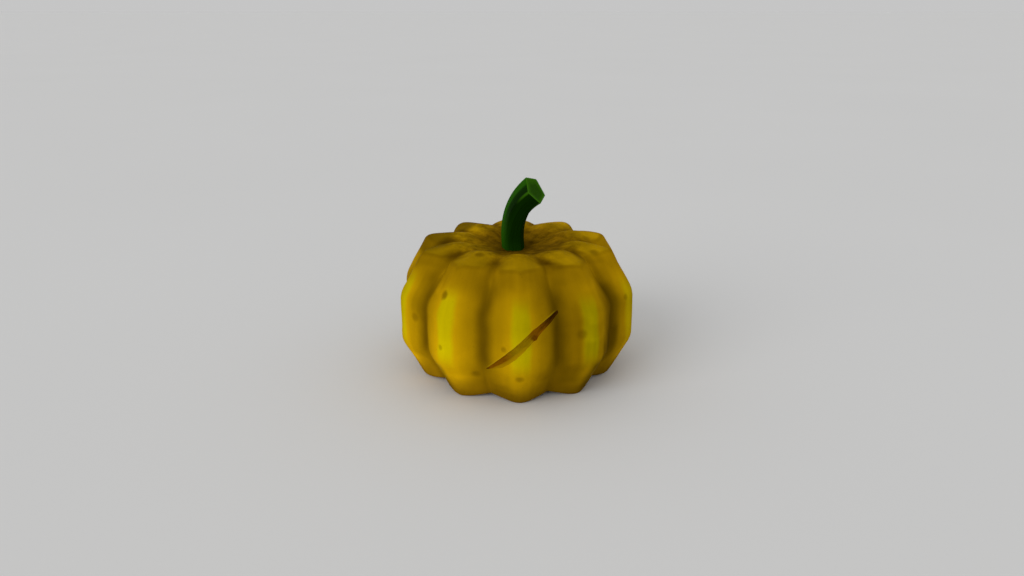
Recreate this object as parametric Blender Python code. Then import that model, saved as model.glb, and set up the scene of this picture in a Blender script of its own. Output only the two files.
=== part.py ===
"""A ribbed pumpkin with a bent five-sided stem and one long gash across its front rib.

Metres, +Z up. The origin is on the surface the fruit rests on, below its middle, and the front rib's crest
points along -Y. Azimuths are degrees from that crest, positive towards +X. Two solids: fruit and stem.
"""
import math

import bmesh
import bpy
import numpy as np
from mathutils import Vector

# The fruit's driving dimensions
RIB_COUNT = 10
BELLY_RADIUS = 0.1304
BELLY_LOW = 0.0450
BELLY_HIGH = 0.0969
FOOT_RADIUS = 0.1060
FOOT_PRESS = 0.0012
SHOULDER_RADIUS = 0.1050
SHOULDER_HEIGHT = 0.1418
CROWN_RADIUS = 0.0660
CROWN_HEIGHT = 0.1484
FUNNEL_RADIUS = 0.0240
FUNNEL_HEIGHT = 0.1366
BLOSSOM_HEIGHT = 0.0150

# How far the groove between two ribs lies inside their crests, level by level
GROOVE_AT_FOOT = 0.0104
GROOVE_AT_BELLY = 0.0112
GROOVE_AT_SHOULDER = 0.0204
GROOVE_AT_CROWN = 0.0060

# A rib's section: how round its crest and the groove beside it are, and the narrow crease at the groove's bottom
CREST_SOFTNESS = 0.25
VALLEY_SOFTNESS = 0.15
CREASE_SHARE = 0.08
CREASE_WIDTH = 0.12

# Corners from the blossom end up the side and down into the funnel: radius, height, reach of the rounding
CREST_CORNERS = (
    (0.0, BLOSSOM_HEIGHT, 0.0),
    (0.026, BLOSSOM_HEIGHT - 0.0015, 0.008),
    (0.074, 0.0025, 0.016),
    (FOOT_RADIUS, -FOOT_PRESS, 0.005),
    (BELLY_RADIUS + 0.0008, BELLY_LOW, 0.007),
    (BELLY_RADIUS, BELLY_HIGH, 0.007),
    (SHOULDER_RADIUS, SHOULDER_HEIGHT, 0.005),
    (CROWN_RADIUS, CROWN_HEIGHT, 0.008),
    (FUNNEL_RADIUS, FUNNEL_HEIGHT, 0.008),
    (0.0, FUNNEL_HEIGHT - 0.0036, 0.0),
)
GROOVE_CORNERS = (
    (0.0, BLOSSOM_HEIGHT, 0.0),
    (0.024, BLOSSOM_HEIGHT + 0.0040, 0.008),
    (0.068, 0.0130, 0.016),
    (FOOT_RADIUS - GROOVE_AT_FOOT, 0.0030, 0.005),
    (BELLY_RADIUS - GROOVE_AT_BELLY, BELLY_LOW, 0.007),
    (BELLY_RADIUS - GROOVE_AT_BELLY, BELLY_HIGH, 0.007),
    (SHOULDER_RADIUS - GROOVE_AT_SHOULDER, SHOULDER_HEIGHT - 0.0020, 0.005),
    (CROWN_RADIUS - GROOVE_AT_CROWN, CROWN_HEIGHT - 0.0044, 0.008),
    (FUNNEL_RADIUS, FUNNEL_HEIGHT, 0.008),
    (0.0, FUNNEL_HEIGHT - 0.0036, 0.0),
)
STEPS_ROUND_A_CORNER = 3
PLACES_ACROSS_HALF_A_RIB = (0.0, 0.18, 0.40, 0.64, 0.86)

# The gash: its two ends as azimuth and height, how far its line bows and swings between them, and its wedge
GASH_START = (-17.5, 0.0423)
GASH_END = (19.3, 0.1025)
GASH_BOW = 0.0022
GASH_SWING = 0.0024
GASH_HALF_WIDTH = 0.0052
GASH_DEPTH = 0.0042
GASH_TAPER = 0.75
GASH_PROUD = 0.0030
GASH_TIP = 0.004
GASH_STATIONS = 15

# The stem: a cubic curve that rises from its foot and leans out at its end, where it is cut at a slant
STEM_FOOT = Vector((-0.0026, 0.0001, 0.1300))
STEM_RISE = 0.0090
STEM_END = Vector((0.0192, -0.0185, 0.2043))
STEM_END_AZIMUTH = -41.7
STEM_END_PITCH = 36.0
STEM_LEAN = 0.0500
STEM_RADIUS_FOOT = 0.0133
STEM_RADIUS_END = 0.0167
STEM_CUT_NORMAL = Vector((0.7275, -0.4145, 0.5460))
STEM_SIDES = 5
STEM_TURN = -34.5
STEM_FLARE = 3
ARRIS_HARDNESS = 22.0
STEM_STEPS_A_SIDE = 6
STEM_STATIONS = 16
STEM_OVERSHOOT = 0.25

# The socket in the funnel that the stem's foot stands in
FIT_GAP = 0.0003
SOCKET_SHARE = 0.35


def clear_scene():
    for thing in list(bpy.data.objects):
        bpy.data.objects.remove(thing, do_unlink=True)


def plain_material(name, colour, roughness):
    """A Principled material of one colour."""
    material = bpy.data.materials.new(name)
    material.use_nodes = True
    shader = material.node_tree.nodes["Principled BSDF"]
    shader.inputs["Base Color"].default_value = (*colour, 1.0)
    shader.inputs["Roughness"].default_value = roughness
    shader.inputs["Metallic"].default_value = 0.0
    return material


def add_object(name, bm, material=None):
    """Turns a bmesh into an object, with its normals facing out."""
    bmesh.ops.recalc_face_normals(bm, faces=bm.faces)
    mesh = bpy.data.meshes.new(name)
    bm.to_mesh(mesh)
    bm.free()
    obj = bpy.data.objects.new(name, mesh)
    bpy.context.scene.collection.objects.link(obj)
    if material:
        mesh.materials.append(material)
    return obj


def make_cutter(obj):
    obj.hide_render = True
    obj.display_type = "WIRE"


def cut_away(obj, cutter):
    """Takes the cutter's shape out of the object."""
    cut = obj.modifiers.new("cut " + cutter.name, "BOOLEAN")
    cut.operation = "DIFFERENCE"
    cut.solver = "EXACT"
    cut.object = cutter


def smooth_with_creases(obj, angle):
    obj.data.shade_smooth()
    obj.data.set_sharp_from_angle(angle=math.radians(angle))


def rounded_line(corners):
    """Points along straight edges whose corners are rounded by parabolas.

    Each parabola starts and ends at the corner's reach along both edges, and bends towards the corner.
    """
    places = np.array([corner[:2] for corner in corners])
    line = [places[0]]
    for before, here, after, corner in zip(places, places[1:], places[2:], corners[1:]):
        reach = corner[2]
        start = here + reach * (before - here) / np.linalg.norm(before - here)
        end = here + reach * (after - here) / np.linalg.norm(after - here)
        for step in range(STEPS_ROUND_A_CORNER + 1):
            t = step / STEPS_ROUND_A_CORNER
            line.append((1 - t) ** 2 * start + 2 * t * (1 - t) * here + t * t * end)
    line.append(places[-1])
    return np.array(line)


def rounded_off(t, softness):
    """A hyperbola from 0 to 1 that starts level at t = 0 and soon runs nearly straight."""
    return (np.sqrt(t * t + softness**2) - softness) / (math.sqrt(1 + softness**2) - softness)


def share_of_groove(t):
    """How far the surface has gone from crest (0) to groove (1), at t across half a rib.

    A flank rounded off at the crest and again in the valley, and a narrow bell for the crease.
    """
    flank = rounded_off(1 - rounded_off(1 - t, VALLEY_SOFTNESS), CREST_SOFTNESS)
    crease = np.exp(-(((1 - t) / CREASE_WIDTH) ** 2))
    return (1 - CREASE_SHARE) * flank + CREASE_SHARE * crease


def profile_at(azimuth):
    """The fruit's profile, as radius and height, in the upright half plane at an azimuth."""
    rib_angle = 360 / RIB_COUNT
    from_crest = (azimuth + rib_angle / 2) % rib_angle - rib_angle / 2
    share = share_of_groove(abs(from_crest) / (rib_angle / 2))
    return (1 - share) * rounded_line(CREST_CORNERS) + share * rounded_line(GROOVE_CORNERS)


def outward(azimuth):
    angle = math.radians(azimuth)
    return Vector((math.sin(angle), -math.cos(angle), 0.0))


def side_point(azimuth, height):
    """The point of the fruit's side at an azimuth and a height."""
    profile = profile_at(azimuth)
    widest = int(np.argmax(profile[:, 0]))
    lowest = int(np.argmin(profile[:widest, 1]))
    highest = widest + int(np.argmax(profile[widest:, 1]))
    side = profile[lowest : highest + 1]
    radius = float(np.interp(height, side[:, 1], side[:, 0]))
    return outward(azimuth) * radius + Vector((0.0, 0.0, height))


def skin_grid(bm):
    """The lobed skin: one column of points for each azimuth, closed at both ends of the axis."""
    half = list(PLACES_ACROSS_HALF_A_RIB)
    across = [-1.0] + [-t for t in reversed(half[1:])] + half
    half_angle = 180 / RIB_COUNT
    azimuths = [2 * half_angle * rib + half_angle * t for rib in range(RIB_COUNT) for t in across]
    columns = []
    for azimuth in azimuths:
        out = outward(azimuth)
        inner = profile_at(azimuth)[1:-1]
        columns.append([bm.verts.new(out * float(r) + Vector((0, 0, float(z)))) for r, z in inner])
    bottom = bm.verts.new((0, 0, CREST_CORNERS[0][1]))
    top = bm.verts.new((0, 0, CREST_CORNERS[-1][1]))
    for left, right in zip(columns, columns[1:] + columns[:1]):
        bm.faces.new((bottom, right[0], left[0]))
        bm.faces.new((top, left[-1], right[-1]))
        for row in range(len(left) - 1):
            bm.faces.new((left[row], right[row], right[row + 1], left[row + 1]))


def press_flat(bm):
    """Cuts the ribs' feet off at the ground and closes each cut with a flat face."""
    everything = bm.verts[:] + bm.edges[:] + bm.faces[:]
    bmesh.ops.bisect_plane(bm, geom=everything, plane_co=(0, 0, 0), plane_no=(0, 0, -1), clear_outer=True)
    open_edges = [edge for edge in bm.edges if edge.is_boundary]
    bmesh.ops.holes_fill(bm, edges=open_edges, sides=0)


def loft(bm, rings):
    """Joins closed rings of points into a skin, and closes both ends with flat faces."""
    rings = [[bm.verts.new(point) for point in ring] for ring in rings]
    for lower, upper in zip(rings, rings[1:]):
        for i, corner in enumerate(lower):
            after = (i + 1) % len(lower)
            bm.faces.new((corner, lower[after], upper[after], upper[i]))
    bm.faces.new(rings[0][::-1])
    bm.faces.new(rings[-1])


def gash_middle(u):
    """The point at u along the gash's line on the skin, and the azimuth it lies at.

    Straight from end to end in azimuth and height, raised by half a sine wave and swung by a whole one.
    """
    azimuth = GASH_START[0] + (GASH_END[0] - GASH_START[0]) * u
    height = GASH_START[1] + (GASH_END[1] - GASH_START[1]) * u
    height += GASH_BOW * math.sin(math.pi * u) - GASH_SWING * math.sin(2 * math.pi * u)
    return side_point(azimuth, height), azimuth


def gash_cutter():
    """A curved wedge along the gash: its edge lies below the skin and its flat back stands proud of it."""
    rings = []
    for station in range(GASH_STATIONS):
        u = GASH_TIP + (1 - 2 * GASH_TIP) * station / (GASH_STATIONS - 1)
        middle, azimuth = gash_middle(u)
        out = outward(azimuth)
        along = gash_middle(u + GASH_TIP)[0] - gash_middle(u - GASH_TIP)[0]
        sideways = out.cross(along).normalized()
        opening = math.sin(math.pi * u) ** GASH_TAPER
        depth = GASH_DEPTH * opening
        spread = GASH_HALF_WIDTH * opening * (1 + GASH_PROUD / depth)
        rings.append(
            (
                middle + out * GASH_PROUD + sideways * spread,
                middle - out * depth,
                middle + out * GASH_PROUD - sideways * spread,
            )
        )
    bm = bmesh.new()
    loft(bm, rings)
    cutter = add_object("gash_cutter", bm)
    make_cutter(cutter)
    return cutter


def stem_centreline(u):
    """Point and direction at u along a cubic curve that leaves the fruit upright and leans out at its end."""
    pitch = math.radians(STEM_END_PITCH)
    turn = math.radians(STEM_END_AZIMUTH)
    lean = Vector((math.cos(pitch) * math.cos(turn), math.cos(pitch) * math.sin(turn), math.sin(pitch)))
    a, d = STEM_FOOT, STEM_END
    b = a + Vector((0, 0, STEM_RISE))
    c = d - lean * STEM_LEAN
    v = 1 - u
    point = v**3 * a + 3 * u * v * v * b + 3 * u * u * v * c + u**3 * d
    slope = v * v * (b - a) + 2 * u * v * (c - b) + u * u * (d - c)
    return point, slope.normalized()


def pentagon_reach(angle):
    """Distance from centre to edge of a regular polygon of unit corner radius with softened corners.

    The flats' pulls are added as high powers: a higher power leaves a sharper corner.
    """
    flats = [(i + 0.5) * 2 * math.pi / STEM_SIDES for i in range(STEM_SIDES)]
    to_flat = math.cos(math.pi / STEM_SIDES)
    pull = sum(max(0.0, math.cos(angle - flat) / to_flat) ** ARRIS_HARDNESS for flat in flats)
    return pull ** (-1 / ARRIS_HARDNESS)


def stem_rings(radius_extra, u_last):
    """Softened pentagons square to the centreline, carried along it without twisting."""
    side = Vector((1.0, 0.0, 0.0))
    count = STEM_SIDES * STEM_STEPS_A_SIDE
    rings = []
    for station in range(STEM_STATIONS):
        u = u_last * station / (STEM_STATIONS - 1)
        point, direction = stem_centreline(u)
        side = (side - direction * side.dot(direction)).normalized()
        front = side.cross(direction)
        radius = STEM_RADIUS_FOOT + (STEM_RADIUS_END - STEM_RADIUS_FOOT) * u**STEM_FLARE + radius_extra
        ring = []
        for step in range(count):
            angle = 2 * math.pi * step / count
            place = angle + math.radians(STEM_TURN)
            reach = radius * pentagon_reach(angle)
            ring.append(point + side * math.sin(place) * reach + front * math.cos(place) * reach)
        rings.append(ring)
    return rings


def socket_cutter():
    """The stem's lower stretch, fatter and deeper by the gap, so that its foot has a socket to stand in."""
    rings = stem_rings(FIT_GAP / math.cos(math.pi / STEM_SIDES), SOCKET_SHARE)
    rings[0] = [point - Vector((0, 0, FIT_GAP)) for point in rings[0]]
    bm = bmesh.new()
    loft(bm, rings)
    cutter = add_object("socket_cutter", bm)
    make_cutter(cutter)
    return cutter


def build_fruit():
    skin = plain_material("pumpkin skin", (0.56, 0.33, 0.008), 0.42)
    bm = bmesh.new()
    skin_grid(bm)
    press_flat(bm)
    fruit = add_object("fruit", bm, skin)
    smooth_with_creases(fruit, 40)
    cut_away(fruit, gash_cutter())
    cut_away(fruit, socket_cutter())
    return fruit


def build_stem():
    green = plain_material("stem green", (0.020, 0.085, 0.006), 0.55)
    bm = bmesh.new()
    loft(bm, stem_rings(0.0, 1.0 + STEM_OVERSHOOT))
    everything = bm.verts[:] + bm.edges[:] + bm.faces[:]
    bmesh.ops.bisect_plane(bm, geom=everything, plane_co=STEM_END, plane_no=STEM_CUT_NORMAL, clear_outer=True)
    open_edges = [edge for edge in bm.edges if edge.is_boundary]
    bmesh.ops.holes_fill(bm, edges=open_edges, sides=0)
    stem = add_object("stem", bm, green)
    smooth_with_creases(stem, 40)
    return stem


clear_scene()
build_fruit()
build_stem()
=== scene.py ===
"""The looks of a ribbed yellow pumpkin: a lobed rind, a gash across its front rib and a bent green stem.

Metres, +Z up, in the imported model's frame. Azimuths are degrees from the front rib's crest, which points
along -Y, positive towards +X. Each surface is a grid of points worked out by a formula, which its function
gives in words.
"""
import math

import bpy
import numpy as np
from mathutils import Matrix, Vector


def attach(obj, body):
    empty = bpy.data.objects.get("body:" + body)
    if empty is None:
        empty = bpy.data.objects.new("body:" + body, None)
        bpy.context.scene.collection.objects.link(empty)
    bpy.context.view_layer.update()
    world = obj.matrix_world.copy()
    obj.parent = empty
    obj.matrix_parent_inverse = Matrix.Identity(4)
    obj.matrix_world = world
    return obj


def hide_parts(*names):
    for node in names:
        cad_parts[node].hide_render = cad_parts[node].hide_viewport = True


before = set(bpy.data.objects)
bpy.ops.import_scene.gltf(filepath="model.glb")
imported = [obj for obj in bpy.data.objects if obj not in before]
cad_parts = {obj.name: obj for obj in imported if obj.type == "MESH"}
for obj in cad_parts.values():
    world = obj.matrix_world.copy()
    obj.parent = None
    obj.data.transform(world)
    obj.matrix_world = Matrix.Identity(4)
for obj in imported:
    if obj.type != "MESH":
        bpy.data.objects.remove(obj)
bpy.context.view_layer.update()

# The fruit's profile along a crest and along a groove: radius, height, reach of the corner's rounding
CREST_CORNERS = (
    (0.0, 0.0150, 0.0),
    (0.026, 0.0135, 0.008),
    (0.074, 0.0025, 0.016),
    (0.1060, -0.0012, 0.005),
    (0.1312, 0.0450, 0.007),
    (0.1304, 0.0969, 0.007),
    (0.1050, 0.1418, 0.005),
    (0.0660, 0.1484, 0.008),
    (0.0240, 0.1366, 0.008),
    (0.0, 0.1330, 0.0),
)
GROOVE_CORNERS = (
    (0.0, 0.0150, 0.0),
    (0.024, 0.0190, 0.008),
    (0.068, 0.0130, 0.016),
    (0.0956, 0.0030, 0.005),
    (0.1192, 0.0450, 0.007),
    (0.1192, 0.0969, 0.007),
    (0.0846, 0.1398, 0.005),
    (0.0600, 0.1440, 0.008),
    (0.0240, 0.1366, 0.008),
    (0.0, 0.1330, 0.0),
)

# Which of those corners are the shoulder's edge and the crown's edge
SHOULDER_CORNER = 6
CROWN_CORNER = 7

# The ribs: how softly one turns over at its crest and in its groove, and the crease down the groove
RIB_COUNT = 10
HALF_RIB = 180 / RIB_COUNT
CREST_SOFTNESS = 0.25
VALLEY_SOFTNESS = 0.15
CREASE_SHARE = 0.08
CREASE_WIDTH = 0.12

# How fine the rind's grid is: columns round the axis, how much closer they stand in the grooves and beside
# the gash, and the length of a step up a stretch of the profile
RIND_COLUMNS = 420
AZIMUTH_SAMPLES = 14401
GROOVE_CROWDING = 1.2
GASH_CROWDING = 2.0
GASH_MARGIN = 3
ROW_STEP = 0.0030
ROW_STEP_BESIDE_GASH = 0.0010
LOWEST_GASH_STRETCH = 8
HIGHEST_GASH_STRETCH = 11

# Relief of the rind: swells, wrinkles that many times round the funnel, and lips beside the gash
SWELL = 0.0005
SWELL_LENGTHS = (0.022, 0.060)
SWELL_COUNT = 40
WRINKLE = 0.0003
WRINKLES_ROUND = (13, 17, 23, 31)
WRINKLE_RADIUS = 0.026
WRINKLE_REACH = 0.014
LIP = 0.0003
LIP_WIDTH = 0.0016
LIP_SEARCH = 0.07

# Soft dark spots: azimuth, height or, on top, radius, how wide and how tall, how dark, how deep its pit is
SIDE_SPOTS = (
    (-39.5, 0.1147, 0.0052, 0.0060, 0.80, 0.0010),
    (-61.0, 0.0785, 0.0056, 0.0060, 0.60, 0.0008),
    (-38.5, 0.0619, 0.0032, 0.0036, 0.45, 0.0005),
    (-7.8, 0.0690, 0.0036, 0.0030, 0.45, 0.0005),
    (-22.5, 0.0351, 0.0058, 0.0050, 0.55, 0.0008),
    (28.9, 0.0781, 0.0066, 0.0060, 0.55, 0.0008),
    (-0.6, 0.0362, 0.0054, 0.0046, 0.50, 0.0007),
    (65.0, 0.0959, 0.0042, 0.0040, 0.45, 0.0007),
    (118.0, 0.0840, 0.0056, 0.0060, 0.60, 0.0009),
    (152.0, 0.0560, 0.0040, 0.0042, 0.50, 0.0006),
    (-128.0, 0.1030, 0.0058, 0.0050, 0.60, 0.0008),
    (-170.0, 0.0700, 0.0048, 0.0052, 0.55, 0.0007),
    (-97.0, 0.0480, 0.0046, 0.0044, 0.45, 0.0006),
)
TOP_SPOTS = (
    (-33.5, 0.0725, 0.0066, 0.0046, 0.65, 0.0007),
    (63.5, 0.0900, 0.0062, 0.0050, 0.60, 0.0007),
    (96.75, 0.0788, 0.0064, 0.0046, 0.55, 0.0007),
    (-140.0, 0.0860, 0.0056, 0.0046, 0.50, 0.0007),
)

# Broad patches of painted shade on the flanks, and duller patches of uneven tone on the far side: azimuth,
# height, how wide in degrees, how tall, how dull
SHADE_AND_DULL_PATCHES = (
    (24.0, 0.0640, 9.5, 0.0520, 0.70),
    (48.0, 0.0420, 8.0, 0.0260, 0.75),
    (49.0, 0.0800, 8.0, 0.0480, 0.85),
    (12.0, 0.0260, 9.0, 0.0220, 0.40),
    (-10.0, 0.0280, 7.0, 0.0180, 0.30),
    (-76.0, 0.0700, 9.0, 0.0600, 0.30),
    (131.0, 0.0600, 10.0, 0.0420, 0.55),
    (-118.0, 0.0560, 9.0, 0.0400, 0.50),
    (171.0, 0.0640, 9.0, 0.0420, 0.45),
)

# Patches of painted light or, below nothing, of painted shade, with brighter patches of uneven tone on the
# far side: azimuth, height, how wide in degrees, how tall, how bright
LIGHT_AND_SHADE_PATCHES = (
    (-38.0, 0.1240, 16.0, 0.0160, 0.10),
    (-44.0, 0.1020, 10.0, 0.0120, -0.05),
    (-60.5, 0.1020, 4.0, 0.0280, -0.18),
    (-7.5, 0.1370, 6.0, 0.0150, -0.14),
    (6.5, 0.1340, 6.0, 0.0180, 0.10),
    (26.0, 0.1220, 9.0, 0.0260, -0.10),
    (45.0, 0.1270, 13.0, 0.0320, 0.28),
    (66.0, 0.1220, 10.0, 0.0340, 0.25),
    (55.5, 0.1270, 6.0, 0.0180, 0.22),
    (23.0, 0.1330, 4.5, 0.0120, -0.16),
    (53.5, 0.0800, 9.5, 0.0380, -0.21),
    (65.0, 0.0900, 6.0, 0.0400, 0.12),
    (53.0, 0.0500, 8.0, 0.0280, -0.48),
    (40.5, 0.0500, 5.5, 0.0260, -0.24),
    (47.0, 0.0440, 6.0, 0.0180, -0.22),
    (33.5, 0.0560, 4.0, 0.0180, -0.24),
    (30.0, 0.0320, 12.0, 0.0160, -0.18),
    (-63.0, 0.0170, 9.0, 0.0200, 0.36),
    (-28.0, 0.0200, 11.0, 0.0150, 0.18),
    (-11.0, 0.0320, 5.0, 0.0120, 0.16),
    (11.0, 0.0210, 5.0, 0.0120, 0.24),
    (-9.0, 0.0080, 10.0, 0.0090, -0.18),
    (-51.0, 0.1195, 7.0, 0.0110, 0.16),
    (-60.0, 0.1370, 13.0, 0.0090, -0.14),
    (58.5, 0.1375, 7.0, 0.0080, -0.17),
    (38.0, 0.1090, 9.0, 0.0140, -0.12),
    (36.5, 0.0800, 7.0, 0.0110, -0.12),
    (41.0, 0.0240, 8.5, 0.0260, -0.52),
    (-44.0, 0.0200, 7.5, 0.0240, -0.44),
    (-160.0, 0.1200, 14.0, 0.0240, 0.15),
    (128.0, 0.1200, 13.0, 0.0260, 0.15),
)

# Painted shade as brown blotches where the grooves cross the shoulder, and a faint one beside the first:
# azimuth, place from the crown's edge (0) to the shoulder's (1), how wide in degrees, how long, by how many
# degrees it slants along its length, how dark
SHOULDER_SHADE_BLOTCHES = (
    (-55.5, 0.75, 12.0, 0.58, 3.0, 0.92),
    (-48.0, 0.80, 7.0, 0.50, 0.0, 0.32),
    (-18.0, 0.64, 11.0, 0.74, 2.0, 0.74),
    (18.3, 0.66, 11.0, 0.80, 8.0, 0.97),
    (52.0, 0.52, 11.0, 0.78, -12.0, 0.82),
    (88.0, 0.55, 11.0, 0.65, 6.0, 0.80),
    (127.0, 0.55, 10.0, 0.60, 8.0, 0.60),
    (163.0, 0.55, 10.0, 0.60, -6.0, 0.65),
    (-161.0, 0.55, 10.0, 0.60, 8.0, 0.70),
    (-125.0, 0.55, 10.0, 0.60, 5.0, 0.70),
    (-92.0, 0.55, 11.0, 0.65, 8.0, 0.85),
)

# The gash: its two ends as azimuth and height, how its line bows and swings, and its cross-section
GASH_START = (-17.2, 0.0425)
GASH_END = (18.9, 0.1033)
GASH_BOW = 0.0022
GASH_SWING = 0.0024
GASH_HALF_WIDTH = 0.0047
GASH_DEPTH = 0.0042
GASH_TAPER = 0.75
GASH_PROUD = 0.0030
GASH_TIP = 0.004
GASH_STATIONS = 90
GASH_STEPS_ACROSS = 14
GASH_WALL_BULGE = 1.15
NICK_AT = 0.62
NICK_LENGTH = 0.016
NICK_WIDTH = 0.0016

# The stem: a cubic curve that rises from its foot and leans out at its end, where it is cut at a slant
STEM_FOOT = np.array((-0.0026, 0.0001, 0.1300))
STEM_RISE = 0.0090
STEM_END = np.array((0.0192, -0.0185, 0.2043))
STEM_END_AZIMUTH = -41.7
STEM_END_PITCH = 36.0
STEM_LEAN = 0.0500
STEM_RADIUS_FOOT = 0.0133
STEM_RADIUS_END = 0.0167
STEM_CUT_NORMAL = np.array((0.7275, -0.4145, 0.5460))
STEM_SIDES = 5
STEM_TURN = -34.5
STEM_FLARE = 3
ARRIS_HARDNESS = 22.0
STEM_OVERSHOOT = 0.25
STEM_COLUMNS = 200
STEM_ROWS = 150
STEM_SAMPLES = 200
FIBRE = 0.00007
CUT_SAMPLES = 160
CUT_RINGS = 24
CUT_DISH = 0.0012
CUT_EDGE = 0.0007
CUT_EDGE_REACH = 0.06

# The view that the photograph has, round the part's own axis
VIEW_AZIMUTH = -2.07
VIEW_ELEVATION = 19.8
VIEW_DISTANCE = 0.8862
VIEW_TARGET = Vector((-0.0045, 0.0002, 0.0881))
LENS = 27.77
SENSOR = 36.0

# The light: a pale sky, and a broad key light from the left
SKY_STRENGTH = 0.56
KEY_AZIMUTH = -48.0
KEY_ELEVATION = 26.0
KEY_STRENGTH = 0.94
KEY_SPREAD = 40.0

# The floor: half its side, and its two colours as linear light
FLOOR_HALF = 40.0
FLOOR_PALE = (0.800, 0.800, 0.795)
FLOOR_PALER = (0.820, 0.820, 0.815)


def unit(vectors):
    """Vectors of length one, along the last axis."""
    return vectors / np.linalg.norm(vectors, axis=-1, keepdims=True)


def outward(azimuth):
    """Level vectors that point away from the fruit's axis."""
    angle = np.radians(azimuth)
    return np.stack([np.sin(angle), -np.cos(angle), np.zeros_like(angle)], axis=-1)


def mesh_from_grid(name, points, closed_ends):
    """A mesh from a grid of points whose columns close on themselves, with a pole or nothing at each end.

    points is rows by columns by three. Rows run up the piece and columns run anticlockwise seen from above.
    closed_ends gives the pole of the first row and of the last row.
    """
    rows, columns = points.shape[:2]
    index = np.arange(rows * columns).reshape(rows, columns)
    beside = np.roll(index, -1, axis=1)
    quads = np.stack([index[:-1], beside[:-1], beside[1:], index[1:]], axis=-1).reshape(-1, 4)
    vertices = np.concatenate([points.reshape(-1, 3), np.array(closed_ends)])
    first, last = rows * columns, rows * columns + 1
    lower = np.stack([np.full(columns, first), beside[0], index[0]], axis=-1)
    upper = np.stack([np.full(columns, last), index[-1], beside[-1]], axis=-1)
    mesh = bpy.data.meshes.new(name)
    mesh.from_pydata(vertices.tolist(), [], quads.tolist() + lower.tolist() + upper.tolist())
    mesh.polygons.foreach_set("use_smooth", np.ones(len(mesh.polygons), bool))
    mesh.update()
    return mesh


def add_piece(name, mesh):
    piece = bpy.data.objects.new(name, mesh)
    bpy.context.scene.collection.objects.link(piece)
    return piece


def places_of(mesh):
    """All of a mesh's vertices as an array."""
    places = np.empty(len(mesh.vertices) * 3, np.float32)
    mesh.vertices.foreach_get("co", places)
    return places.reshape(-1, 3).astype(float)


def add_attribute(mesh, name, values):
    attribute = mesh.attributes.new(name, "FLOAT", "POINT")
    attribute.data.foreach_set("value", values.astype(np.float32))


# The rind's shape


def stretches_of(corners):
    """A line with rounded corners as a chain of parabolas: start, pulling point and end of each.

    A straight run is a parabola whose pulling point is its middle. A corner's parabola starts and ends at the
    corner's reach along both edges, and the corner itself pulls it.
    """
    places = np.array([corner[:2] for corner in corners])
    here = places[0]
    stretches = []
    for before, corner, after, (_, _, reach) in zip(places, places[1:], places[2:], corners[1:]):
        start = corner + reach * unit(before - corner)
        end = corner + reach * unit(after - corner)
        stretches += [(here, (here + start) / 2, start), (start, corner, end)]
        here = end
    stretches.append((here, (here + places[-1]) / 2, places[-1]))
    return np.array(stretches)


def along_stretches(stretches, steps):
    """Points along a chain of parabolas, with t going from 0 towards 1 along each.

    A point is the start times the square of 1-t, the pulling point times 2t(1-t) and the end times the square
    of t, added up.
    """
    line = []
    for (start, pull, end), count in zip(stretches, steps):
        t = (np.arange(count) / count)[:, None]
        line.append((1 - t) ** 2 * start + 2 * t * (1 - t) * pull + t * t * end)
    return np.concatenate(line)[1:]


def rounded_off(t, softness):
    """A hyperbola from 0 to 1 that starts level at t = 0 and soon runs nearly straight."""
    return (np.sqrt(t * t + softness**2) - softness) / (math.sqrt(1 + softness**2) - softness)


def share_of_groove(t):
    """How far the surface has gone from crest (0) to groove (1), at t across half a rib.

    A flank rounded off at the crest and again in the valley, and a narrow bell for the crease.
    """
    flank = rounded_off(1 - rounded_off(1 - t, VALLEY_SOFTNESS), CREST_SOFTNESS)
    crease = np.exp(-(((1 - t) / CREASE_WIDTH) ** 2))
    return (1 - CREASE_SHARE) * flank + CREASE_SHARE * crease


def across_rib(azimuth):
    """0 on a rib's crest and 1 in the groove."""
    from_crest = (azimuth + HALF_RIB) % (2 * HALF_RIB) - HALF_RIB
    return np.abs(from_crest) / HALF_RIB


def rind_profiles(azimuth):
    """Profiles as azimuths by rows by (radius, height): the crest's line and the groove's line, mixed."""
    crest = stretches_of(CREST_CORNERS)
    groove = stretches_of(GROOVE_CORNERS)
    steps = []
    for number, (start, pull, end) in enumerate(crest):
        length = np.linalg.norm(pull - start) + np.linalg.norm(end - pull)
        fine = LOWEST_GASH_STRETCH <= number <= HIGHEST_GASH_STRETCH
        steps.append(max(5, round(length / (ROW_STEP_BESIDE_GASH if fine else ROW_STEP))))
    share = share_of_groove(across_rib(azimuth))[:, None, None]
    return (1 - share) * along_stretches(crest, steps) + share * along_stretches(groove, steps)


def points_round_axis(azimuth, radius, height):
    """Points at azimuths, distances from the fruit's axis, and heights."""
    points = outward(azimuth) * np.array(radius)[:, None]
    points[:, 2] = height
    return points


def side_point(azimuth, height):
    """Points of the fruit's side at azimuths and heights."""
    radii = []
    for profile, level in zip(rind_profiles(azimuth), height):
        widest = int(np.argmax(profile[:, 0]))
        lowest = int(np.argmin(profile[:widest, 1]))
        highest = widest + int(np.argmax(profile[widest:, 1]))
        side = profile[lowest : highest + 1]
        radii.append(np.interp(level, side[:, 1], side[:, 0]))
    return points_round_axis(azimuth, radii, height)


def top_point(azimuth, radius):
    """Points of the fruit's top at azimuths and radii."""
    heights = []
    for profile, place in zip(rind_profiles(azimuth), radius):
        top = profile[np.argmax(profile[:, 0]) :]
        heights.append(np.interp(-place, -top[:, 0], top[:, 1]))
    return points_round_axis(azimuth, radius, heights)


def spot_places():
    """Every spot's place on the rind, and how wide, how tall, how dark and how deep it is."""
    side = np.array(SIDE_SPOTS)
    top = np.array(TOP_SPOTS)
    places = np.concatenate([side_point(side[:, 0], side[:, 1]), top_point(top[:, 0], top[:, 1])])
    return places, np.concatenate([side[:, 2:], top[:, 2:]])


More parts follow.
